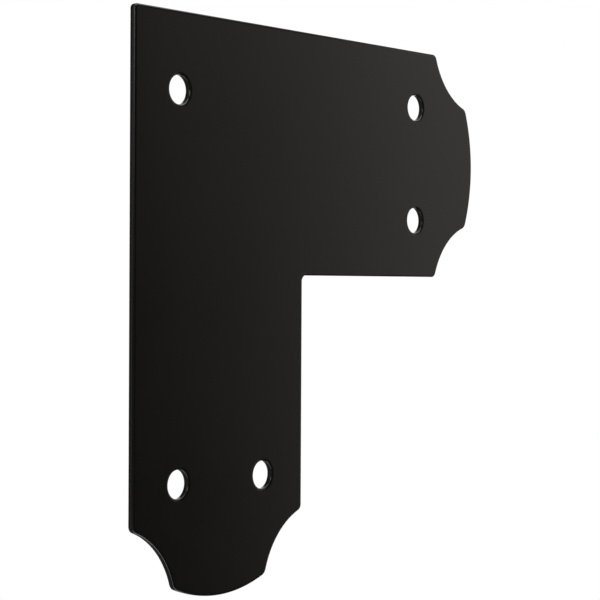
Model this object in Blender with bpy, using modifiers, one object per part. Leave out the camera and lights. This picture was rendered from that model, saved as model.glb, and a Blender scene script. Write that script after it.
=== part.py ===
"""L-strap bracket: one flat steel plate with two equal legs, scooped ends and five bolt holes.

Frame: metres, +Z up.  The plate stands against a timber frame: its back face lies in the plane
Y = 0 and its front face looks towards -Y.  The origin is the point of the back face where the
centre lines of the two legs cross.  One leg runs level to +X, the other hangs down to -Z.
The outline and the holes are drawn on a plan whose zero is the outer corner of the L.
"""

from math import asin, atan2, cos, pi, radians, sin, tan

import bmesh
import bpy
from mathutils import Vector

# Plate
LEG_WIDTH = 0.127               # 5 in across each leg
LEG_REACH = 0.28575             # 11 1/4 in, from the outer corner of the L to the crown of an end
PLATE_THICKNESS = 0.0032        # 1/8 in, with its coat

# Decorative end, the same on both legs
CROWN_RISE = 0.0067             # how far the middle of the end stands out beyond its two tips
SCOOP_ACROSS = 0.0291           # from the side of the leg in to the tip
SCOOP_ALONG = 0.0304            # from the end of the straight side out to the tip
SCOOP_DEPTH = 0.0054            # how far the scoop bows into the plate from its chord

# Bolt holes
HOLE_DIAMETER = 0.0143          # 9/16 in, for a 1/2 in bolt
PAIR_SETBACK = 0.05715          # 2 1/4 in, from the crown of an end back to its pair of holes
PAIR_PITCH = 0.0635             # 2 1/2 in between the two holes of a pair
CORNER_HOLE_X = 0.03175         # 1 1/4 in from the outer side of the hanging leg
CORNER_HOLE_Z = 0.0381          # 1 1/2 in from the outer side of the level leg

# Rounded corners of the outline and rolled edges of the plate
OUTER_CORNER_RADIUS = 0.0024    # 3/32 in at the outer corner of the L
INNER_CORNER_RADIUS = 0.0032    # 1/8 in at the inner corner of the L
SCOOP_CORNER_RADIUS = 0.0035    # where a straight side turns into its scoop
TIP_RADIUS = 0.0047             # 3/16 in where a scoop meets the crown
FRONT_EDGE_RADIUS = 0.0008
BACK_EDGE_RADIUS = 0.0005

# Fineness of the curves
ARC_STEP = 0.0045               # length of a facet along the scoops and crowns
CORNER_FACETS = 3
HOLE_FACETS = 40
EDGE_FACETS = 3

# Satin black powder coat
COAT_COLOUR = (0.0047, 0.0046, 0.0043, 1.0)
COAT_ROUGHNESS = 0.26

WELD = 0.00001


def clear_scene():
    """Remove the objects that are already in the scene."""
    for old in list(bpy.data.objects):
        bpy.data.objects.remove(old, do_unlink=True)


def side_points(start, end, bow):
    """Points from start up to end, which is left out, on the arc that bows out by bow.

    The plate lies to the right of the line from start to end, so a negative bow is a scoop.
    """
    if not bow:
        return [start]
    chord = end - start
    half = chord.length / 2
    radius = (half * half + bow * bow) / (2 * abs(bow))
    along = chord.normalized()
    out = Vector((-along.y, along.x)) * (1 if bow > 0 else -1)
    half_angle = asin(half / radius)
    centre = (start + end) / 2 - out * radius * cos(half_angle)
    facets = 2 * max(1, round(chord.length / ARC_STEP / 2))
    angles = [half_angle * (2 * i / facets - 1) for i in range(facets)]
    return [centre + radius * (along * sin(a) + out * cos(a)) for a in angles]


def rounded_corner(before, corner, after, radius):
    """Points of the arc of the given radius that touches both lines meeting at the corner."""
    back = (before - corner).normalized()
    ahead = (after - corner).normalized()
    half_turn = (pi - back.angle(ahead)) / 2
    centre = corner + (back + ahead).normalized() * radius / cos(half_turn)
    first = corner + back * radius * tan(half_turn) - centre
    last = corner + ahead * radius * tan(half_turn) - centre
    start = atan2(first.y, first.x)
    turn = (atan2(last.y, last.x) - start + pi) % (2 * pi) - pi
    angles = [start + turn * i / CORNER_FACETS for i in range(CORNER_FACETS + 1)]
    return [centre + radius * Vector((cos(a), sin(a))) for a in angles]


def leg_end(hanging):
    """The four corners of a leg's end, clockwise, each with its rounding and the bow after it."""
    tip = LEG_REACH - CROWN_RISE
    along = [tip - SCOOP_ALONG, tip, tip, tip - SCOOP_ALONG]
    across = [0, SCOOP_ACROSS, LEG_WIDTH - SCOOP_ACROSS, LEG_WIDTH]
    radius = [SCOOP_CORNER_RADIUS, TIP_RADIUS, TIP_RADIUS, SCOOP_CORNER_RADIUS]
    bow = [-SCOOP_DEPTH, CROWN_RISE, -SCOOP_DEPTH, 0]
    if hanging:
        points = [Vector((a, -r)) for a, r in zip(reversed(across), along)]
    else:
        points = [Vector((r, -a)) for a, r in zip(across, along)]
    return list(zip(points, radius, bow))


def outline_points():
    """The whole outline of the plate on its plan, clockwise from the outer corner."""
    outer = (Vector((0, 0)), OUTER_CORNER_RADIUS, 0)
    inner = (Vector((LEG_WIDTH, -LEG_WIDTH)), INNER_CORNER_RADIUS, 0)
    corners = [outer] + leg_end(hanging=False) + [inner] + leg_end(hanging=True)
    following = corners[1:] + corners[:1]
    sides = [side_points(here[0], there[0], here[2]) for here, there in zip(corners, following)]
    points = []
    for i, (corner, radius, _bow) in enumerate(corners):
        before = sides[i - 1][-1]
        after = (sides[i] + sides[(i + 1) % len(sides)])[1]
        points += rounded_corner(before, corner, after, radius)
        points += sides[i][1:]
    return points


def hole_centres():
    """Centres of the bolt holes on the plan: one at the corner, then a pair in each leg."""
    middle = LEG_WIDTH / 2
    reach = LEG_REACH - PAIR_SETBACK
    pair = [middle - PAIR_PITCH / 2, middle + PAIR_PITCH / 2]
    corner = [Vector((CORNER_HOLE_X, -CORNER_HOLE_Z))]
    level = [Vector((reach, -across)) for across in pair]
    hanging = [Vector((across, -reach)) for across in pair]
    return corner + level + hanging


def hole_points(centre):
    """A bolt hole's circle."""
    angles = [2 * pi * i / HOLE_FACETS for i in range(HOLE_FACETS)]
    return [centre + HOLE_DIAMETER / 2 * Vector((cos(a), sin(a))) for a in angles]


def flat_curve(name, loops, thickness):
    """A 2D curve filled between its loops of points and extruded to the given thickness."""
    curve = bpy.data.curves.new(name, "CURVE")
    curve.dimensions = "2D"
    curve.fill_mode = "BOTH"
    curve.extrude = thickness / 2
    for loop in loops:
        spline = curve.splines.new("POLY")
        spline.points.add(len(loop) - 1)
        for point, place in zip(spline.points, loop):
            point.co = (place.x, place.y, 0, 1)
        spline.use_cyclic_u = True
    return bpy.data.objects.new(name, curve)


def as_welded_mesh(blank, collection):
    """Replace a curve object by a closed mesh object with the same name and place."""
    name = blank.name
    blank.name = name + "_curve"
    collection.objects.link(blank)
    bpy.context.view_layer.update()
    evaluated = blank.evaluated_get(bpy.context.evaluated_depsgraph_get())
    mesh = bpy.data.meshes.new_from_object(evaluated)
    piece = bpy.data.objects.new(name, mesh)
    piece.matrix_world = blank.matrix_world.copy()
    bpy.data.objects.remove(blank, do_unlink=True)
    collection.objects.link(piece)
    shape = bmesh.new()
    shape.from_mesh(mesh)
    bmesh.ops.remove_doubles(shape, verts=shape.verts, dist=WELD)
    bmesh.ops.dissolve_limit(shape, angle_limit=radians(0.5), verts=shape.verts, edges=shape.edges)
    bmesh.ops.recalc_face_normals(shape, faces=shape.faces)
    shape.to_mesh(mesh)
    shape.free()
    return piece


def roll_edges(piece):
    """Round the edges all round both faces, the front ones more than the back ones."""
    mesh = piece.data
    shape = bmesh.new()
    shape.from_mesh(mesh)
    weight = shape.edges.layers.float.new("bevel_weight_edge")
    for edge in shape.edges:
        front = all(vert.co.z > 0 for vert in edge.verts)
        back = all(vert.co.z < 0 for vert in edge.verts)
        if edge.calc_face_angle() > radians(60) and (front or back):
            edge[weight] = 1 if front else BACK_EDGE_RADIUS / FRONT_EDGE_RADIUS
    shape.to_mesh(mesh)
    shape.free()
    bevel = piece.modifiers.new("rolled_edges", "BEVEL")
    bevel.limit_method = "WEIGHT"
    bevel.width = FRONT_EDGE_RADIUS
    bevel.segments = EDGE_FACETS
    bevel.use_clamp_overlap = False
    bevel.loop_slide = False


def coat_material():
    """Satin black powder coat."""
    material = bpy.data.materials.new("black_powder_coat")
    material.use_nodes = True
    shader = material.node_tree.nodes["Principled BSDF"]
    shader.inputs["Base Color"].default_value = COAT_COLOUR
    shader.inputs["Roughness"].default_value = COAT_ROUGHNESS
    shader.inputs["Metallic"].default_value = 0.0
    return material


def build():
    clear_scene()
    collection = bpy.data.collections.new("l_strap_bracket")
    bpy.context.scene.collection.children.link(collection)
    loops = [outline_points()] + [hole_points(centre) for centre in hole_centres()]
    blank = flat_curve("strap_plate", loops, PLATE_THICKNESS)
    blank.location = (-LEG_WIDTH / 2, -PLATE_THICKNESS / 2, LEG_WIDTH / 2)
    blank.rotation_euler = (pi / 2, 0, 0)
    plate = as_welded_mesh(blank, collection)
    roll_edges(plate)
    plate.data.materials.append(coat_material())
    plate.data.shade_smooth()
    plate.data.set_sharp_from_angle(angle=radians(35))


build()
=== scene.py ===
# %% [markdown]
# # An L-strap bracket in satin black powder coat
#
# The real object is one flat steel plate, 1/8 inch thick, cut to an L with two equal legs.  Each
# leg ends in two scoops and a low crown, and five round holes take the bolts that hold it to a
# post and a beam.  The plate is blanked in a press, so its front edge is rolled over, and then
# coated black.
#
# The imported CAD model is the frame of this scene: it fixes every size and place.  This script
# loads it, makes a finer plate in exactly the same place, gives that plate its coat and sets up a
# small studio.  All lengths are in metres, with +Z up and the front of the plate towards -Y.

# %% Load the frame and keep its box
import math

import bpy
import numpy as np
from mathutils import Euler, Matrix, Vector
from mathutils.geometry import delaunay_2d_cdt


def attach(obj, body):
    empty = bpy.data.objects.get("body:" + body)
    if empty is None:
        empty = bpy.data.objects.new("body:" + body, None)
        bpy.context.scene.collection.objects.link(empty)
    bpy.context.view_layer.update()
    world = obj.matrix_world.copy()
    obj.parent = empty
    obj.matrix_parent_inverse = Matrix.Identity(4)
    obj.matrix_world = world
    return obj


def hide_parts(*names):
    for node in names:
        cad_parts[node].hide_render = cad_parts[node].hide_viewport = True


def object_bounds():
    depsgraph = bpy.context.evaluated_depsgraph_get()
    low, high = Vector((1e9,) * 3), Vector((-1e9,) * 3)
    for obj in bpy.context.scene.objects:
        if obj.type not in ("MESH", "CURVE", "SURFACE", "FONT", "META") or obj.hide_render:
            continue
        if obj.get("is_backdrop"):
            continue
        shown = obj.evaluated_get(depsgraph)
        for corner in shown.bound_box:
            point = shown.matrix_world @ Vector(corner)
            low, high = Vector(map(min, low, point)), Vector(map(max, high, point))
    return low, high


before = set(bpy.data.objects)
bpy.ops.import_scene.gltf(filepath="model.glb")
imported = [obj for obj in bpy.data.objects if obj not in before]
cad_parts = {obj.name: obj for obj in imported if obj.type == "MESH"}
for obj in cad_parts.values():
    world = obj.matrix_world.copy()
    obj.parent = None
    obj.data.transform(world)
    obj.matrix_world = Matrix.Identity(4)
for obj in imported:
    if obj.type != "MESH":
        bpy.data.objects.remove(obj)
cad_low, cad_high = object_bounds()
print("CAD box, mm:", [[round(1000 * v, 2) for v in corner] for corner in (cad_low, cad_high)])

# %% [markdown]
# ## The camera
#
# The camera comes first, because everything else is judged through it.  Its place, its turn and
# the length of its lens were worked out from the outline and the holes in the photograph: only one
# camera sees all of them where they are.  It stands to the left of the plate and close to it, so
# the near leg looks taller than the far one.  Blender counts a camera's turn from straight down,
# so an X angle of almost 90 degrees makes it look level.

# %% Set the camera at the photograph's angle
CAMERA_PLACE = (-0.69842, -0.61112, -0.06876)
CAMERA_TURN = (89.5571, -0.2810, -51.3341)
LENS_MM = 112.07
SENSOR_MM = 36

camera_data = bpy.data.cameras.new("photo_camera")
camera_data.lens = LENS_MM
camera_data.sensor_width = SENSOR_MM
camera = bpy.data.objects.new("photo_camera", camera_data)
camera.location = CAMERA_PLACE
camera.rotation_euler = Euler([math.radians(angle) for angle in CAMERA_TURN])
bpy.context.scene.collection.objects.link(camera)
bpy.context.scene.camera = camera
print("camera stands", round(camera.location.length, 3), "m from the middle of the corner")

# %% [markdown]
# ## The outline as a chain of arcs
#
# A plate like this is drawn with a ruler and a pair of compasses: every part of its outline is a
# straight line or an arc.  Both are the same thing to a walker.  Start at a point, with a heading,
# and turn left at a steady rate for a given length.  With no turn the walk is a straight line, and
# with a steady turn it is an arc.
#
# So each side is kept as a start, a heading, a rate of turn (one over its radius) and a length.
# That needs no special case for straight sides, and it gives the exact direction at every point,
# which the rolled edge needs later.  The drawing's zero is the outer corner of the L, with u to
# the right and v up, and the walk goes clockwise, so the metal is always on the walker's right.

# %% Walk along arcs
def ahead(heading):
    """The unit vector along a heading."""
    return np.stack([np.cos(heading), np.sin(heading)], axis=-1)


def left_of(heading):
    """The unit vector that points to the left of a heading, which is out of the metal."""
    return np.stack([-np.sin(heading), np.cos(heading)], axis=-1)


def walk(start, heading, turn_rate, length):
    """Where a walk ends, and its heading there.

    Half of the whole turn is h = rate x length / 2.  The straight line from the start of the walk
    to its end has the heading (first heading + h) and the length (walk x sin h / h).
    """
    half = turn_rate * length / 2
    straight = length * np.sinc(half / np.pi)
    return start + straight[..., None] * ahead(heading + half), heading + 2 * half


quarter = np.full(1, np.pi / 2)
quarter_end, quarter_heading = walk(np.zeros((1, 2)), np.zeros(1), np.ones(1), quarter)
print("a quarter turn left, radius 1, ends at", quarter_end.round(6), quarter_heading.round(4))

# %% [markdown]
# ## The ten sides of the plate
#
# The sizes are inch sizes, as this kind of hardware has: legs 5 inches wide that reach 11 1/4
# inches from the outer corner.  Each leg's end has a scoop, a crown and another scoop.  An arc is
# given by its two end points and its bow, which is how far its middle stands out from the straight
# line between them.  A crown has a positive bow and a scoop a negative one.

# %% Lay out the corners and the bows between them
INCH = 0.0254
LEG_WIDTH = 5 * INCH
LEG_REACH = 11.25 * INCH
CROWN_RISE = 0.0067
SCOOP_ACROSS = 0.0291
SCOOP_ALONG = 0.0304
SCOOP_DEPTH = 0.0054

tip = LEG_REACH - CROWN_RISE
end_along = np.array([tip - SCOOP_ALONG, tip, tip, tip - SCOOP_ALONG])
end_across = np.array([0, SCOOP_ACROSS, LEG_WIDTH - SCOOP_ACROSS, LEG_WIDTH])
level_end = np.stack([end_along, -end_across], axis=1)
hanging_end = np.stack([end_across[::-1], -end_along], axis=1)
corners = np.vstack([[(0, 0)], level_end, [(LEG_WIDTH, -LEG_WIDTH)], hanging_end])
end_bows = [-SCOOP_DEPTH, CROWN_RISE, -SCOOP_DEPTH, 0]
bows = np.array([0, *end_bows, 0, *end_bows])
print(len(corners), "corners; bows in mm:", (1000 * bows).round(1))


# %% Turn corners and bows into arcs
def arcs_between(corners, bows):
    """Start, heading, rate of turn and length of the side that follows each corner.

    Half of an arc's turn is twice the angle whose tangent is its bow over half of its chord.  The
    walk is clockwise, so a side that bows out turns right, which is a negative turn.
    """
    chord = np.roll(corners, -1, axis=0) - corners
    straight = np.hypot(chord[:, 0], chord[:, 1])
    half = -2 * np.arctan2(bows, straight / 2)
    heading = np.arctan2(chord[:, 1], chord[:, 0]) - half
    length = straight / np.sinc(half / np.pi)
    return corners, heading, 2 * half / length, length


sides = arcs_between(corners, bows)
print("lengths of the sides, mm:", (1000 * sides[3]).round(1))

# %% [markdown]
# ## Corners rounded by a rolling ball
#
# No corner of a blanked plate is knife sharp.  Picture a ball of the right radius that is pushed
# into a corner until it touches both sides.  Its centre is one radius away from a point on the
# side before the corner, and one radius away from a point on the side after it.
#
# Both sides may be arcs, so there is no short formula for those two points.  Newton's method finds
# them for all ten corners at once: guess, see how far apart the two centres are, and move both
# points along their sides by what would close the gap if the sides were straight.

# %% Find where each ball touches its two sides
OUTER_CORNER_RADIUS = 0.0024
INNER_CORNER_RADIUS = 0.0032
SCOOP_CORNER_RADIUS = 0.0035
TIP_RADIUS = 0.0047
END_RADII = [SCOOP_CORNER_RADIUS, TIP_RADIUS, TIP_RADIUS, SCOOP_CORNER_RADIUS]
ROUNDS = 8


def pick(sides, numbers):
    """The same four arrays for only some of the sides."""
    return [values[numbers] for values in sides]


def ball_touches(sides, radii):
    """How far along the side before and the side after each corner its ball touches.

    The centre seen from a side is point + turn x radius x left, and moving along that side by ds
    moves it by (1 - turn x radius x rate of turn) ds along the heading.
    """
    before = pick(sides, np.arange(-1, len(radii) - 1))
    after = sides
    reached, leaving = before[3].copy(), np.zeros(len(radii))
    arriving = walk(*before)[1]
    turn = np.sign(np.sin(after[1] - arriving))
    offset = turn * radii
    for _ in range(ROUNDS):
        point_a, heading_a = walk(*before[:3], reached)
        point_b, heading_b = walk(*after[:3], leaving)
        gap = point_b + offset[:, None] * left_of(heading_b)
        gap -= point_a + offset[:, None] * left_of(heading_a)
        move_a = (1 - offset * before[2])[:, None] * ahead(heading_a)
        move_b = (1 - offset * after[2])[:, None] * ahead(heading_b)
        steps = np.linalg.solve(np.stack([move_a, -move_b], axis=2), gap[:, :, None])[:, :, 0]
        reached += steps[:, 0]
        leaving += steps[:, 1]
    return reached, leaving, turn, np.abs(gap).max()


corner_radii = np.array([OUTER_CORNER_RADIUS, *END_RADII, INNER_CORNER_RADIUS, *END_RADII])
*_, miss = ball_touches(sides, corner_radii)
print("the balls fit to within", miss, "m")

# %% [markdown]
# ## The whole outline
#
# Now the chain is complete: a ball's arc, what is left of the side after it, the next ball's arc,
# and so on round the plate.  The bolt holes join it in the same form.  A hole is one arc that
# turns left through a full circle, walked the other way round, so that the metal is on the right
# there as well.

# %% Chain the rounded corners and the trimmed sides
def rounded_outline(sides, radii):
    """The arcs of the outline in order: rounded corner, trimmed side, rounded corner and so on."""
    reached, leaving, turn, _ = ball_touches(sides, radii)
    ball_start, ball_heading = walk(*pick(sides, np.arange(-1, len(radii) - 1))[:3], reached)
    side_start, side_heading = walk(*sides[:3], leaving)
    angle = np.abs((side_heading - ball_heading + np.pi) % (2 * np.pi) - np.pi)
    balls = [ball_start, ball_heading, turn / radii, angle * radii]
    trimmed = [side_start, side_heading, sides[2], np.roll(reached, -1) - leaving]
    return [np.stack(pair, axis=1).reshape(-1, *pair[0].shape[1:]) for pair in zip(balls, trimmed)]


outline = rounded_outline(sides, corner_radii)
print(len(outline[0]), "arcs, in all", round(1000 * outline[3].sum(), 1), "mm round the plate")

# %% Place the five bolt holes
HOLE_DIAMETER = 9 / 16 * INCH
PAIR_SETBACK = 2.25 * INCH
PAIR_PITCH = 2.5 * INCH
CORNER_HOLE = (1.25 * INCH, -1.5 * INCH)

pair_reach = LEG_REACH - PAIR_SETBACK
near_side, far_side = LEG_WIDTH / 2 - PAIR_PITCH / 2, LEG_WIDTH / 2 + PAIR_PITCH / 2
level_pair = [(pair_reach, -near_side), (pair_reach, -far_side)]
hanging_pair = [(near_side, -pair_reach), (far_side, -pair_reach)]
hole_centres = np.array([CORNER_HOLE, *level_pair, *hanging_pair])


def circle_arc(centre, diameter):
    """A full circle as one arc: it starts below its centre, heads right and turns left."""
    start = np.array([[centre[0], centre[1] - diameter / 2]])
    return [start, np.zeros(1), np.full(1, 2 / diameter), np.full(1, np.pi * diameter)]


loops = [outline] + [circle_arc(centre, HOLE_DIAMETER) for centre in hole_centres]
print("holes at, mm:", (1000 * hole_centres).round(2).tolist())

# %% [markdown]
# ## Points along the loops
#
# The loops become points now.  Straight sides can do with few, but tight corners need many, or the
# light that runs along the rolled edge shows flats.  So each arc is cut by whichever asks for more
# pieces: its length or its turn.

# %% Cut the loops into points
STEP_LENGTH = 0.003
STEP_TURN = math.radians(4)


def points_on(arcs):
    """Points along a closed chain of arcs, and the outward direction at each.

    Arc number k is cut into n equal steps, so point j on it is a walk of (length x j / n).
    """
    turn_rate, length = arcs[2:]
    pieces = np.maximum(length / STEP_LENGTH, length * abs(turn_rate) / STEP_TURN)
    count = np.ceil(pieces).astype(int)
    arc = np.repeat(np.arange(len(count)), count)
    place_on_arc = np.arange(len(arc)) - np.repeat(np.cumsum(count) - count, count)
    start, heading, turn_rate, length = pick(arcs, arc)
    point, heading = walk(start, heading, turn_rate, length * place_on_arc / count[arc])
    return point, left_of(heading)


loop_points = [points_on(arcs) for arcs in loops]
print("points round the plate and round each hole:", [len(points) for points, _ in loop_points])

# %% [markdown]
# ## The edge of a blanked plate
#
# When a press blanks a thick plate, the tool first pulls the front edge over into a wide, shallow
# roll.  Then it shears a straight, burnished land, and in the rest of the thickness the steel
# breaks, a little back from the land.  The sharp back edge is taken off, and the powder coat
# softens whatever is left.
#
# This is the cross-section that catches the light, so it is drawn as a profile.  Each of its
# points has an inset, which is how far it lies inside the outline, and a depth from the front
# face.  The roll is a quarter of an ellipse, much wider than it is deep.

# %% Draw the edge profile
PLATE_THICKNESS = 0.0032
ROLL_WIDTH = 0.0015
ROLL_DEPTH = 0.0008
LAND_END = 0.0014
BREAK_END = 0.0024
BREAK_INSET = 0.00008
BACK_ROUNDING = 0.0005
FLAT_RIM = 0.0004
ROLL_POINTS, BREAK_POINTS, BACK_POINTS = 13, 5, 7


def edge_profile():
    """Inset and depth of the profile's points, from the front face to the back face.

    Roll: inset = width (1 - sin a), depth = roll depth (1 - cos a), for a from 0 to 90 degrees.
    Break: inset = its last inset times s x s (3 - 2 s), with s from 0 to 1 down the break.
    Back: inset = break's + radius (1 - cos b), depth = thickness - radius (1 - sin b), for b from
    0 to 90 degrees.
    """
    a = np.linspace(0, np.pi / 2, ROLL_POINTS)
    s = np.linspace(0, 1, BREAK_POINTS)
    b = np.linspace(0, np.pi / 2, BACK_POINTS)
    front_rim = [(ROLL_WIDTH + FLAT_RIM, 0)]
    roll = np.stack([ROLL_WIDTH * (1 - np.sin(a)), ROLL_DEPTH * (1 - np.cos(a))], axis=1)
    break_depth = LAND_END + (BREAK_END - LAND_END) * s
    sheared = np.stack([BREAK_INSET * s * s * (3 - 2 * s), break_depth], axis=1)
    back_depth = PLATE_THICKNESS - BACK_ROUNDING * (1 - np.sin(b))
    back = np.stack([BREAK_INSET + BACK_ROUNDING * (1 - np.cos(b)), back_depth], axis=1)
    back_rim = [(BREAK_INSET + BACK_ROUNDING + FLAT_RIM, PLATE_THICKNESS)]
    return np.vstack([front_rim, roll, sheared, back, back_rim])


profile = edge_profile()
print(len(profile), "points across the edge; it is", 1000 * profile[-1, 1], "mm deep")

# %% [markdown]
# ## Carry the profile along each loop
#
# Every loop gets a strip of faces: point i of the loop moved inwards by the inset of profile point
# j, at that point's depth.  That is a function of two whole numbers, so one line of numpy works
# out the whole strip.  Carried along the direction of the walk, each four-sided face points out of
# the metal.

# %% Make the strips
def to_room(plan, depth):
    """From the plan's u and v and a depth from the front to the room: x, y and z."""
    x = plan[..., 0] - LEG_WIDTH / 2
    y = depth - PLATE_THICKNESS
    z = plan[..., 1] + LEG_WIDTH / 2
    return np.stack(np.broadcast_arrays(x, y, z), axis=-1)


def edge_strip(points, outwards, first_vertex):
    """Vertices and four-sided faces of the profile carried along one loop, and vertex numbers."""
    plan = points[:, None, :] - outwards[:, None, :] * profile[None, :, :1]
    vertices = to_room(plan, profile[None, :, 1])
    numbers = first_vertex + np.arange(plan.shape[0] * plan.shape[1]).reshape(plan.shape[:2])
    here, there = numbers, np.roll(numbers, -1, axis=0)
    faces = np.stack([here[:, :-1], there[:, :-1], there[:, 1:], here[:, 1:]], axis=-1)
    return vertices.reshape(-1, 3), faces.reshape(-1, 4), numbers


strip_sizes = [len(points) * len(profile) for points, _ in loop_points]
first_vertices = np.cumsum([0] + strip_sizes)
strips = [edge_strip(*loop, first) for loop, first in zip(loop_points, first_vertices)]
print("faces in the strips:", [len(faces) for _, faces, _ in strips])

# %% [markdown]
# ## Fill the two faces
#
# The strips end in a flat rim on the front and on the back.  The area between the rims is flat,
# but it has five holes in it and curved ends, so it isn't a grid.  A Delaunay triangulation fills
# it: it joins points into the best-shaped triangles it can while it keeps the rims as edges.  A
# lattice of loose points inside keeps the triangles small and even.  It works on the whole area
# round the plate too, so the triangles whose middle isn't in the metal are dropped.

# %% Triangulate a flat face between its rims
LATTICE_PITCH = 0.006
RIM_CLEARANCE = 0.003
MERGE_DISTANCE_MM = 0.00001
WHOLE_AREA = 0


def crossings(places, start, end):
    """How many edges a line from each place to the far right crosses: odd inside, even outside."""
    u, v = places[:, None, 0], places[:, None, 1]
    spans = (start[None, :, 1] > v) != (end[None, :, 1] > v)
    rise = np.where(start[:, 1] == end[:, 1], 1.0, end[:, 1] - start[:, 1])
    at = start[:, 0] + (v - start[:, 1]) * (end[:, 0] - start[:, 0]) / rise
    return (spans & (at > u)).sum(axis=1)


def lattice_inside(start, end):
    """Points of a square lattice in the metal, clear of the rims."""
    low, high = start.min(axis=0), start.max(axis=0)
    ticks = [np.arange(low[i] + LATTICE_PITCH / 2, high[i], LATTICE_PITCH) for i in (0, 1)]
    places = np.stack(np.meshgrid(*ticks), axis=-1).reshape(-1, 2)
    clear = np.linalg.norm(places[:, None] - start[None], axis=2).min(axis=1) > RIM_CLEARANCE
    return places[clear & (crossings(places, start, end) % 2 == 1)]


def filled_face(column):
    """Lattice points and triangles of the flat face that the strips' given column borders.

    The triangles count the rims' points first, loop after loop, and then the lattice points.
    """
    rims = [points - outwards * profile[column, 0] for points, outwards in loop_points]
    start = np.vstack(rims)
    end = np.vstack([np.roll(rim, -1, axis=0) for rim in rims])
    lattice = lattice_inside(start, end)
    firsts = np.cumsum([0] + [len(rim) for rim in rims])
    pairs = [first + np.arange(len(rim)) for rim, first in zip(rims, firsts)]
    edges = np.vstack([np.stack([ring, np.roll(ring, -1)], axis=1) for ring in pairs])
    places = np.vstack([start, lattice])
    places_mm = [Vector(place) for place in 1000 * places]
    found = delaunay_2d_cdt(places_mm, edges.tolist(), [], WHOLE_AREA, MERGE_DISTANCE_MM, True)
    back_to_ours = np.array([ours[0] for ours in found[3]])
    triangles = back_to_ours[np.array(found[2])]
    in_metal = crossings(places[triangles].mean(axis=1), start, end) % 2 == 1
    return lattice, triangles[in_metal]


front_lattice, front_triangles = filled_face(0)
back_lattice, back_triangles = filled_face(-1)
print("triangles on the front and on the back:", len(front_triangles), len(back_triangles))


# %% Join the strips and the faces into one closed plate
def plate_vertices_and_faces():
    """All vertices, the four-sided faces of the strips and the triangles of both flat faces."""
    strip_vertices = [vertices for vertices, _, _ in strips]
    lattices = [to_room(front_lattice, 0.0), to_room(back_lattice, PLATE_THICKNESS)]
    first = first_vertices[-1]
    front_numbers = np.concatenate([numbers[:, 0] for _, _, numbers in strips])
    back_numbers = np.concatenate([numbers[:, -1] for _, _, numbers in strips])
    front_numbers = np.concatenate([front_numbers, first + np.arange(len(front_lattice))])
    first += len(front_lattice)
    back_numbers = np.concatenate([back_numbers, first + np.arange(len(back_lattice))])
    triangles = np.vstack([front_numbers[front_triangles], back_numbers[back_triangles][:, ::-1]])
    quads = np.vstack([faces for _, faces, _ in strips])
    return np.vstack(strip_vertices + lattices), quads, triangles


vertices, quads, triangles = plate_vertices_and_faces()
mesh = bpy.data.meshes.new("coated_plate")
mesh.from_pydata(vertices.tolist(), [], quads.tolist() + triangles.tolist())
mesh.shade_smooth()
plate = bpy.data.objects.new("coated_plate", mesh)
bpy.context.scene.collection.objects.link(plate)
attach(plate, "root")
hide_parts("strap_plate")
print("plate:", len(vertices), "vertices,", 2 * len(quads) + len(triangles), "triangles")

# %% [markdown]
# ## A grain that two finishes share
#
# Powder coat and studio paper both have a fine, even grain.  It could be painted on an image, but
# noise worked out from the place on the surface has no seams and no limit to its sharpness.  The
# group below adds two noises on Object coordinates: a broad one, like the skin of an orange, and a
# fine one, like single grains.
#
# It gives a height for a Bump node, and a tone from 0 to 1 that a material may use to vary its
# colour or its gloss.  Each finish places the group with values of its own.  The shader stays
# outside the group, in the material, where other programs can read it.

# %% Build the grain group
BROAD_DETAIL, FINE_DETAIL = 2.0, 1.0
TONE_LOW, TONE_HIGH = 0.3, 0.7


def grain_group():
    """Height = broad noise + share x fine noise; tone = the broad noise, stretched to 0 to 1."""
    group = bpy.data.node_groups.new("surface_grain", "ShaderNodeTree")
    for name in ("Broad scale", "Fine scale", "Fine share"):
        group.interface.new_socket(name, in_out="INPUT", socket_type="NodeSocketFloat")
    for name in ("Height", "Tone"):
        group.interface.new_socket(name, in_out="OUTPUT", socket_type="NodeSocketFloat")
    nodes, links = group.nodes, group.links
    given, made = nodes.new("NodeGroupInput"), nodes.new("NodeGroupOutput")
    place = nodes.new("ShaderNodeTexCoord")
    broad, fine = nodes.new("ShaderNodeTexNoise"), nodes.new("ShaderNodeTexNoise")
    broad.inputs["Detail"].default_value = BROAD_DETAIL
    fine.inputs["Detail"].default_value = FINE_DETAIL
    for noise, scale in ((broad, "Broad scale"), (fine, "Fine scale")):
        links.new(place.outputs["Object"], noise.inputs["Vector"])
        links.new(given.outputs[scale], noise.inputs["Scale"])
    height = nodes.new("ShaderNodeMath")
    height.operation = "MULTIPLY_ADD"
    links.new(fine.outputs["Fac"], height.inputs[0])
    links.new(given.outputs["Fine share"], height.inputs[1])
    links.new(broad.outputs["Fac"], height.inputs[2])
    tone = nodes.new("ShaderNodeMapRange")
    tone.inputs["From Min"].default_value = TONE_LOW
    tone.inputs["From Max"].default_value = TONE_HIGH
    links.new(broad.outputs["Fac"], tone.inputs["Value"])
    links.new(height.outputs["Value"], made.inputs["Height"])
    links.new(tone.outputs["Result"], made.inputs["Tone"])
    return group


grain = grain_group()
print("group", grain.name, "has", len(grain.nodes), "nodes")

# %% [markdown]
# ## Wiring a finish
#
# Both finishes use their grain in the same three ways: to mix two colours, to move the roughness
# between two values, and to bump the surface.  These helpers each add one node to a material, and
# hand back the socket to link from, so the recipe of a finish stays short enough to read at once.

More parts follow.
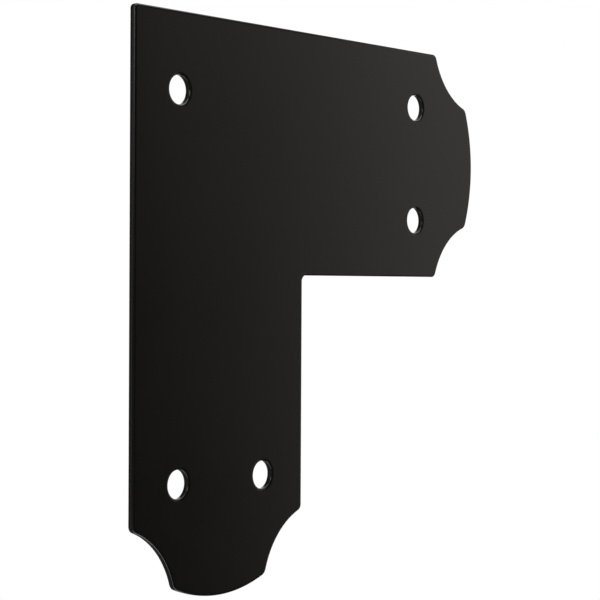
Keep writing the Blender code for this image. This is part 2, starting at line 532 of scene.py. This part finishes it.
# %% Helpers that add one node to a material
def place_grain(material, broad_scale, fine_scale, fine_share):
    """The grain group as a node of a material, with that material's own values."""
    node = material.node_tree.nodes.new("ShaderNodeGroup")
    node.node_tree = grain
    node.inputs["Broad scale"].default_value = broad_scale
    node.inputs["Fine scale"].default_value = fine_scale
    node.inputs["Fine share"].default_value = fine_share
    return node


def mixed_colour(material, tone, first, second):
    """Colour = first + tone x (second - first)."""
    node = material.node_tree.nodes.new("ShaderNodeMix")
    node.data_type = "RGBA"
    node.inputs["A"].default_value = (*first, 1)
    node.inputs["B"].default_value = (*second, 1)
    material.node_tree.links.new(tone, node.inputs["Factor"])
    return node.outputs["Result"]


def between(material, tone, low, high):
    """Value = low + tone x (high - low)."""
    node = material.node_tree.nodes.new("ShaderNodeMapRange")
    node.inputs["To Min"].default_value = low
    node.inputs["To Max"].default_value = high
    material.node_tree.links.new(tone, node.inputs["Value"])
    return node.outputs["Result"]


def bumped(material, height, distance):
    """The normal of a surface that is raised by height x distance, in metres."""
    node = material.node_tree.nodes.new("ShaderNodeBump")
    node.inputs["Distance"].default_value = distance
    material.node_tree.links.new(height, node.inputs["Height"])
    return node.outputs["Normal"]


# %% [markdown]
# ## Satin black powder coat
#
# The coat goes on as a dry, charged powder, and melts in an oven into a skin about a tenth of a
# millimetre thick.  It flows out almost smooth: what is left is a faint orange peel, with hills
# some 2 mm apart and a hundredth of a millimetre high, and a trace of the powder's own grains.
#
# The pigment swallows nearly all the light that goes in.  So the base colour is almost black, a
# little to the warm side, and most of what one sees is the reflection on top of a clear resin with
# an index of 1.5.  A mirror-like coat would show the studio sharply and a matt one not at all, and
# in the photograph the lights keep crisp edges, so the roughness is near 0.2.  Where the powder
# fell thicker the coat is a shade deeper and glossier, in clouds a few centimetres wide.

# %% Coat the plate
COAT_COLOUR = (0.0042, 0.0041, 0.0038)
THIN_COAT_COLOUR = (0.0052, 0.0051, 0.0048)
COAT_INDEX = 1.5
THICK_COAT_ROUGHNESS, THIN_COAT_ROUGHNESS = 0.18, 0.22
PEEL_SCALE, POWDER_SCALE = 420, 1700
PEEL_HEIGHT = 0.000012
CLOUD_SCALE, CLOUD_DETAIL_SCALE = 14, 60
COAT_FINE_SHARE = 0.3

coat = bpy.data.materials.new("black_powder_coat")
coat.use_nodes = True
resin = coat.node_tree.nodes["Principled BSDF"]
resin.inputs["IOR"].default_value = COAT_INDEX
peel = place_grain(coat, PEEL_SCALE, POWDER_SCALE, COAT_FINE_SHARE).outputs["Height"]
cloud = place_grain(coat, CLOUD_SCALE, CLOUD_DETAIL_SCALE, COAT_FINE_SHARE).outputs["Tone"]
coat_parts = {
    "Base Color": mixed_colour(coat, cloud, COAT_COLOUR, THIN_COAT_COLOUR),
    "Roughness": between(coat, cloud, THICK_COAT_ROUGHNESS, THIN_COAT_ROUGHNESS),
    "Normal": bumped(coat, peel, PEEL_HEIGHT),
}
for socket, part in coat_parts.items():
    coat.node_tree.links.new(part, resin.inputs[socket])
plate.data.materials.append(coat)
print(plate.name, "is coated with", coat.name)

# %% [markdown]
# ## Paper for the studio
#
# The studio needs a floor and a backdrop, both of pale paper.  The photograph's ground is pure
# white.  More light would give that too, but it would also wash out the plate, so the backdrop
# does it with its material: rays from the camera, and rays that a glossy or clear surface has
# turned, find plain white of strength 1.  Every other ray finds paper, so the backdrop adds no
# light.

# %% Make the paper
PAPER_ROUGHNESS = 0.9
PAPER_SHINE = 0.1
PAPER_GRAIN_HEIGHT = 0.0001
PAPER_SCALE, FIBRE_SCALE, FIBRE_SHARE = 40, 600, 0.5
HOLLOW_TINT = 0.97
FLOOR_COLOUR = (0.8, 0.795, 0.785)
BACKDROP_COLOUR = (0.9, 0.9, 0.9)


def paper(name, colour):
    """Matt paper: its colour, 3% deeper in the grain's hollows, and a bump of a tenth of a mm."""
    material = bpy.data.materials.new(name)
    material.use_nodes = True
    sheet = material.node_tree.nodes["Principled BSDF"]
    sheet.inputs["Roughness"].default_value = PAPER_ROUGHNESS
    sheet.inputs["Specular IOR Level"].default_value = PAPER_SHINE
    fibres = place_grain(material, PAPER_SCALE, FIBRE_SCALE, FIBRE_SHARE)
    deeper = tuple(HOLLOW_TINT * part for part in colour)
    tinted = mixed_colour(material, fibres.outputs["Tone"], deeper, colour)
    raised = bumped(material, fibres.outputs["Height"], PAPER_GRAIN_HEIGHT)
    material.node_tree.links.new(tinted, sheet.inputs["Base Color"])
    material.node_tree.links.new(raised, sheet.inputs["Normal"])
    return material


def seen_white(material):
    """The material, but plain white of strength 1 to camera, glossy and transmission rays.

    Share of white = the greatest of the three answers, each 0 or 1, that Light Path gives.
    """
    nodes, links = material.node_tree.nodes, material.node_tree.links
    ray = nodes.new("ShaderNodeLightPath")
    white, blend = nodes.new("ShaderNodeEmission"), nodes.new("ShaderNodeMixShader")
    share = ray.outputs["Is Camera Ray"]
    for kind in ("Is Glossy Ray", "Is Transmission Ray"):
        either = nodes.new("ShaderNodeMath")
        either.operation = "MAXIMUM"
        links.new(share, either.inputs[0])
        links.new(ray.outputs[kind], either.inputs[1])
        share = either.outputs["Value"]
    links.new(share, blend.inputs["Fac"])
    links.new(nodes["Principled BSDF"].outputs["BSDF"], blend.inputs[1])
    links.new(white.outputs["Emission"], blend.inputs[2])
    links.new(blend.outputs["Shader"], nodes["Material Output"].inputs["Surface"])
    return material


floor_paper = paper("floor_paper", FLOOR_COLOUR)
backdrop_paper = seen_white(paper("backdrop_paper", BACKDROP_COLOUR))
print("papers:", floor_paper.name, "and", backdrop_paper.name)

# %% [markdown]
# ## Floor and backdrop
#
# The plate hangs in front of the paper with nothing round it, as in the photograph, so the floor
# is kept well below and out of the picture.  It is a large disc.  The backdrop is an upright sheet
# that stands across the camera's line of sight, behind the plate.

# %% Lay the floor and hang the backdrop
FLOOR_HEIGHT = -0.62
FLOOR_RADIUS = 9.0
CIRCLE_POINTS = 64
BACKDROP_DISTANCE = 1.9
BACKDROP_WIDTH = 1.6
BACKDROP_TOP = 1.2
CAMERA_HEADING = 38.67


def staged(name, points, faces, material):
    """A mesh object that is part of the studio and not of the plate."""
    mesh = bpy.data.meshes.new(name)
    points, faces = points.reshape(-1, 3), faces.reshape(-1, faces.shape[-1])
    mesh.from_pydata(points.tolist(), [], faces.tolist())
    mesh.materials.append(material)
    piece = bpy.data.objects.new(name, mesh)
    bpy.context.scene.collection.objects.link(piece)
    piece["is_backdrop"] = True
    return piece


def on_circle(radius, azimuth, height):
    """Points at a distance from the upright axis: x = r cos(azimuth), y = r sin(azimuth), z."""
    turn = np.radians(azimuth)
    parts = np.broadcast_arrays(radius * np.cos(turn), radius * np.sin(turn), height)
    return np.stack(parts, axis=-1)


all_round = np.linspace(0, 360, CIRCLE_POINTS, endpoint=False)
rim = on_circle(FLOOR_RADIUS, all_round, FLOOR_HEIGHT)
floor = staged("studio_floor", rim, np.arange(CIRCLE_POINTS), floor_paper)

middle = on_circle(BACKDROP_DISTANCE, CAMERA_HEADING, 0.0)
sideways = on_circle(BACKDROP_WIDTH / 2, CAMERA_HEADING + 90, 0.0)
corner_signs = np.array([1, 1, -1, -1])[:, None]
backdrop_corners = middle + corner_signs * sideways
backdrop_corners[:, 2] = (FLOOR_HEIGHT, BACKDROP_TOP, BACKDROP_TOP, FLOOR_HEIGHT)
backdrop = staged("studio_backdrop", backdrop_corners, np.arange(4), backdrop_paper)
print(floor.name, -FLOOR_HEIGHT, "m down;", backdrop.name, BACKDROP_DISTANCE, "m away")

# %% [markdown]
# ## Three softboxes
#
# A softbox is a lamp behind a rectangle of cloth.  The rolled edges of the plate mirror them as
# thin bright lines.  The one beside the camera shows in the left edge.  The one overhead shows in
# the upper left corner and in the lower right of the holes.  The one on the floor shows in the
# lower left scoop, round the tip after it, and in the upper right of the holes.  It is turned a
# little and ends short on the right, so the line dies out where the crown begins.
#
# How bright a softbox looks is its radiance, its power over pi times its area.  The radiance is
# what decides the tone of a reflection, so it is the value given here, and the power follows.

# %% Hang the softboxes
SOFTBOX_COLOUR = (1, 0.985, 0.96)
LAMP_AZIMUTH = -129
# A hair off the upright, so that the lamp's turn round its own axis is settled.
DOWN, UP = (0, 0.0001, -1), (0, -0.0001, 1)


def softbox(name, place, facing, width, height, radiance, roll=0.0):
    """A rectangular lamp that faces a direction; power = pi x width x height x radiance."""
    data = bpy.data.lights.new(name, "AREA")
    data.shape = "RECTANGLE"
    data.size, data.size_y = width, height
    data.energy = math.pi * width * height * radiance
    data.color = SOFTBOX_COLOUR
    lamp = bpy.data.objects.new(name, data)
    lamp.location = place
    own_turn = Euler((0, 0, math.radians(roll))).to_quaternion()
    turn = Vector(facing).to_track_quat("-Z", "Y") @ own_turn
    lamp.rotation_euler = turn.to_euler()
    bpy.context.scene.collection.objects.link(lamp)
    return lamp


def towards_axis(azimuth):
    """The level direction from an azimuth to the upright axis."""
    return -on_circle(1.0, azimuth, 0.0)


beside_camera = on_circle(radius=1.25, azimuth=LAMP_AZIMUTH, height=0.46)
to_plate = towards_axis(LAMP_AZIMUTH)
above, below = (0.3, -0.52, 0.9), (-0.12, -0.24, -0.6)
softboxes = [
    softbox("camera_softbox", beside_camera, to_plate, width=0.42, height=0.5, radiance=4.6),
    softbox("overhead_softbox", above, DOWN, width=1.3, height=0.85, radiance=2.5),
    softbox("floor_softbox", below, UP, width=0.72, height=0.19, radiance=3.6, roll=-30),
]
print("softboxes, W:", [round(lamp.data.energy, 2) for lamp in softboxes])

# %% [markdown]
# ## Screens for the reflections
#
# A glossy black plate shows its surroundings more than itself, so a photographer of such a plate
# spends most of the time on what stands round it.  The flat front mirrors one small patch in front
# of the plate and to its right.  There the photograph's tone rises from left to right and from
# bottom to top, and at the plate's left side it stops short, which leaves a black line along
# the rolled edge.
#
# A graded screen does this: a curved sheet whose glow is a function of the azimuth round the plate
# and of the height.  The glow sits in a point attribute and a material reads it.  The screens are
# hidden from the camera, and give no light to matt surfaces and no shadow, so they only show up as
# reflections and don't change the level of the light.

# %% Make a screen from a function
SCREEN_COLOUR = (1, 0.96, 0.885)
SCREEN_COLUMNS, SCREEN_ROWS = 241, 25


def smooth(value, low, high):
    """0 below low, 1 above high, and s x s (3 - 2 s) in between, where s is the way across."""
    s = np.clip((value - low) / (high - low), 0, 1)
    return s * s * (3 - 2 * s)


def glowing(name):
    """A material that glows by the mesh's own glow attribute."""
    material = bpy.data.materials.new(name)
    material.use_nodes = True
    nodes, links = material.node_tree.nodes, material.node_tree.links
    amount, light = nodes.new("ShaderNodeAttribute"), nodes.new("ShaderNodeEmission")
    amount.attribute_name = "glow"
    light.inputs["Color"].default_value = (*SCREEN_COLOUR, 1)
    links.new(amount.outputs["Fac"], light.inputs["Strength"])
    links.new(light.outputs["Emission"], nodes["Material Output"].inputs["Surface"])
    return material


def only_reflected(piece):
    """Hide a piece of the studio from all but glossy rays."""
    piece.visible_camera = False
    piece.visible_shadow = False
    piece.visible_diffuse = False
    return piece


def screen(name, radius, azimuths, heights, glow):
    """A curved sheet: a grid of azimuths and heights on a cylinder round the plate."""
    azimuth = np.linspace(*azimuths, SCREEN_COLUMNS)[:, None]
    height = np.linspace(*heights, SCREEN_ROWS)[None, :]
    points = on_circle(radius, azimuth, height)
    numbers = np.arange(points[..., 0].size).reshape(points.shape[:2])
    cell = (numbers[:-1, :-1], numbers[1:, :-1], numbers[1:, 1:], numbers[:-1, 1:])
    piece = only_reflected(staged(name, points, np.stack(cell, axis=-1), glowing(name)))
    layer = piece.data.attributes.new("glow", "FLOAT", "POINT")
    amounts = np.broadcast_to(glow(azimuth, height), numbers.shape)
    layer.data.foreach_set("value", amounts.reshape(-1).astype(np.float32))
    return piece


# %% [markdown]
# ## The front screen's gradient
#
# The front screen's glow has three parts.  The first is a level that rises with the height.  The
# second is a brighter strip at the screen's left end, which the plate mirrors just inside its left
# edge.  The third is a rise towards the right, since the far end of the level leg is the palest
# part of the photograph.  It runs in straight pieces between four azimuths, and is a little larger
# near the top.  Left of -47 degrees the screen is black.  Its upper end is black too, but further
# up on the right, so the black line along the plate's upper edge fades out to the right.
#
# In the values below, a pair of azimuths or heights says where something begins to change and
# where it has changed in full.

# %% Choose the gradient's values
LEVEL, LEVEL_PER_METRE, LEVEL_HEIGHT = 0.132, 1.7, 0.02
HIGH_LEVEL, HIGH_HEIGHTS = 0.04, (0.18, 0.25)
STRIP_SHARE, STRIP_HEIGHTS = 1.8, (-0.15, 0.25)
STRIP_STARTS, STRIP_ENDS = (-47, -45.5), (-44.5, -43)
RISE_AZIMUTHS = (-42.5, -38, -34, -29.5)
RISE_GLOWS = (-0.012, 0.128, 0.19, 0.36)
HIGH_RISE_SHARE, HIGH_RISE_HEIGHTS = 0.15, (0.1, 0.2)
FRONT_STARTS, FRONT_ENDS = (-47, -45), (-20, -12)
BOTTOM_HEIGHTS = (-0.55, -0.42)
TOP_HEIGHT, TOP_RISE, TOP_RISE_AZIMUTHS = 0.26, 0.45, (-29, -22)
TOP_FADE = (0, 0.14)
FRONT_RADIUS = 1.1
FRONT_AZIMUTHS, FRONT_HEIGHTS = (-100, 20), (-0.61, 0.85)

print("the front screen glows from", FRONT_STARTS[0], "to", FRONT_ENDS[1], "degrees")


# %% Grade the front screen
def front_glow(azimuth, height):
    """(level x (1 + strip) + rise) x across x up, with the azimuth in degrees."""
    level = LEVEL * (1 + LEVEL_PER_METRE * (height - LEVEL_HEIGHT))
    level = level + HIGH_LEVEL * smooth(height, *HIGH_HEIGHTS)
    strip = smooth(azimuth, *STRIP_STARTS) * (1 - smooth(azimuth, *STRIP_ENDS))
    strip = STRIP_SHARE * smooth(height, *STRIP_HEIGHTS) * strip
    rise = np.interp(azimuth, RISE_AZIMUTHS, RISE_GLOWS)
    rise = rise * (1 + HIGH_RISE_SHARE * smooth(height, *HIGH_RISE_HEIGHTS))
    across = smooth(azimuth, *FRONT_STARTS) * (1 - smooth(azimuth, *FRONT_ENDS))
    top = TOP_HEIGHT + TOP_RISE * smooth(azimuth, *TOP_RISE_AZIMUTHS)
    up = smooth(height, *BOTTOM_HEIGHTS) * (1 - smooth(height - top, *TOP_FADE))
    return (level * (1 + strip) + rise) * across * up


front_screen = screen("front_screen", FRONT_RADIUS, FRONT_AZIMUTHS, FRONT_HEIGHTS, front_glow)
glow_values = np.zeros(len(front_screen.data.vertices), dtype=np.float32)
front_screen.data.attributes["glow"].data.foreach_get("value", glow_values)
print("glow of the front screen: up to", glow_values.max().round(3))

# %% [markdown]
# ## The dark side of the studio
#
# The other edges mirror the rest of the room.  Low on the camera's side it is dim, with a faint
# glow at its right end, so the left edge's highlight dies away down the leg.  Behind the plate it
# is almost dark up to well above the plate, which leaves the bright lines in the holes thin.  A
# dark cloth just above the floor keeps the pale floor out of the reflections in the lower edges.
# A grey one lies on it at the back, where the walls of the holes that face down and to the left
# look.  Like the screens, the cloths are seen only in reflections and cast no shadow, so they
# paint a darker floor into the reflections.

# %% Put up the dim screens and lay the cloths
CLOTH_RADIUS = 1.3
DARK_HEIGHT, DARK_COLOUR = -0.61, (0.05, 0.05, 0.05)
GREY_HEIGHT, GREY_COLOUR = -0.605, (0.3, 0.3, 0.3)
GREY_AZIMUTHS, GREY_POINTS = (16, 164), 40
SIDE_RADIUS, SIDE_AZIMUTHS, SIDE_HEIGHTS = 1.09, (-200, -92), (-0.35, 0.04)
SIDE_GLOW, SIDE_STARTS = 0.2, (-112, -98)
REAR_RADIUS, REAR_AZIMUTHS, REAR_HEIGHTS = 1.0, (62, 134), (-0.4, 1.2)
REAR_GLOW = 0.08


def camera_side_glow(azimuth, height):
    """The faint glow at the right end: glow x smooth step over the start azimuths."""
    return SIDE_GLOW * smooth(azimuth, *SIDE_STARTS) + 0 * height


def rear_glow(azimuth, height):
    """The same dim glow all over."""
    return REAR_GLOW + 0 * (azimuth + height)


def cloth(name, azimuths, height, colour):
    """A flat sheet; its rim runs through the points of the cloth circle at these azimuths."""
    rim = on_circle(CLOTH_RADIUS, azimuths, height)
    return only_reflected(staged(name, rim, np.arange(len(azimuths)), paper(name, colour)))


screen("camera_side_screen", SIDE_RADIUS, SIDE_AZIMUTHS, SIDE_HEIGHTS, camera_side_glow)
screen("rear_screen", REAR_RADIUS, REAR_AZIMUTHS, REAR_HEIGHTS, rear_glow)
# The two cloths are painted reflections: only glossy rays see them, as a dark and a grey floor.
cloth("dark_reflection_cloth", all_round, DARK_HEIGHT, DARK_COLOUR)
cloth("grey_reflection_cloth", np.linspace(*GREY_AZIMUTHS, GREY_POINTS), GREY_HEIGHT, GREY_COLOUR)

# %% [markdown]
# ## A flag for the lower holes
#
# The photograph has the overhead softbox in the lower right of the corner hole, but hardly in the
# two holes of the hanging leg.  A photographer shades such a spot with a flag, which is a black
# card on a stand.  This one hangs level in front of the plate and above it.  The lines of sight
# from the two lower holes up to the lamp pass through it.  Those from the corner hole and from the
# upper edge rise behind it.  Unlike the screens it also has to stop the lamp's light.

# %% Hang the flag
FLAG_LEFT, FLAG_RIGHT = -0.10, 0.30
FLAG_FRONT, FLAG_BACK = -0.32, -0.195
FLAG_HEIGHT = 0.20
FLAG_COLOUR = (0.005, 0.005, 0.005)

flag_plan = [
    (FLAG_LEFT, FLAG_FRONT),
    (FLAG_RIGHT, FLAG_FRONT),
    (FLAG_RIGHT, FLAG_BACK),
    (FLAG_LEFT, FLAG_BACK),
]
flag_corners = np.array([(x, y, FLAG_HEIGHT) for x, y in flag_plan])
flag_paper = paper("flag_black", FLAG_COLOUR)
flag = only_reflected(staged("black_flag", flag_corners, np.arange(4), flag_paper))
flag.visible_shadow = True
print("flag:", round(FLAG_RIGHT - FLAG_LEFT, 3), "x", round(FLAG_BACK - FLAG_FRONT, 3), "m")

# %% [markdown]
# ## The room's own light
#
# The rest of the light comes evenly from all sides, as from the pale walls of a room.  Together
# with the softboxes it puts the plate at a plain level: a card of 0.18 grey in its place renders
# as about 0.15.  The Standard view transform shows colours as they are, with no film look.

# %% Light the room and set the view
ROOM_COLOUR = (0.40, 0.393, 0.382)

room = bpy.data.worlds.new("studio_room")
room.use_nodes = True
room.node_tree.nodes["Background"].inputs["Color"].default_value = (*ROOM_COLOUR, 1)
bpy.context.scene.world = room
bpy.context.scene.view_settings.view_transform = "Standard"
print("view transform:", bpy.context.scene.view_settings.view_transform)

# %% [markdown]
# ## Check the size and finish
#
# The coated plate must fill the same box as the CAD plate, no more and no less.

# %% Compare the boxes and finish
visual_low, visual_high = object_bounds()
boxes = {
    "cad": [list(cad_low), list(cad_high)],
    "visual": [list(visual_low), list(visual_high)],
}
apart = np.abs(np.array(boxes["cad"]) - np.array(boxes["visual"])).max()
print("the two boxes differ by at most", round(1000 * float(apart), 4), "mm")
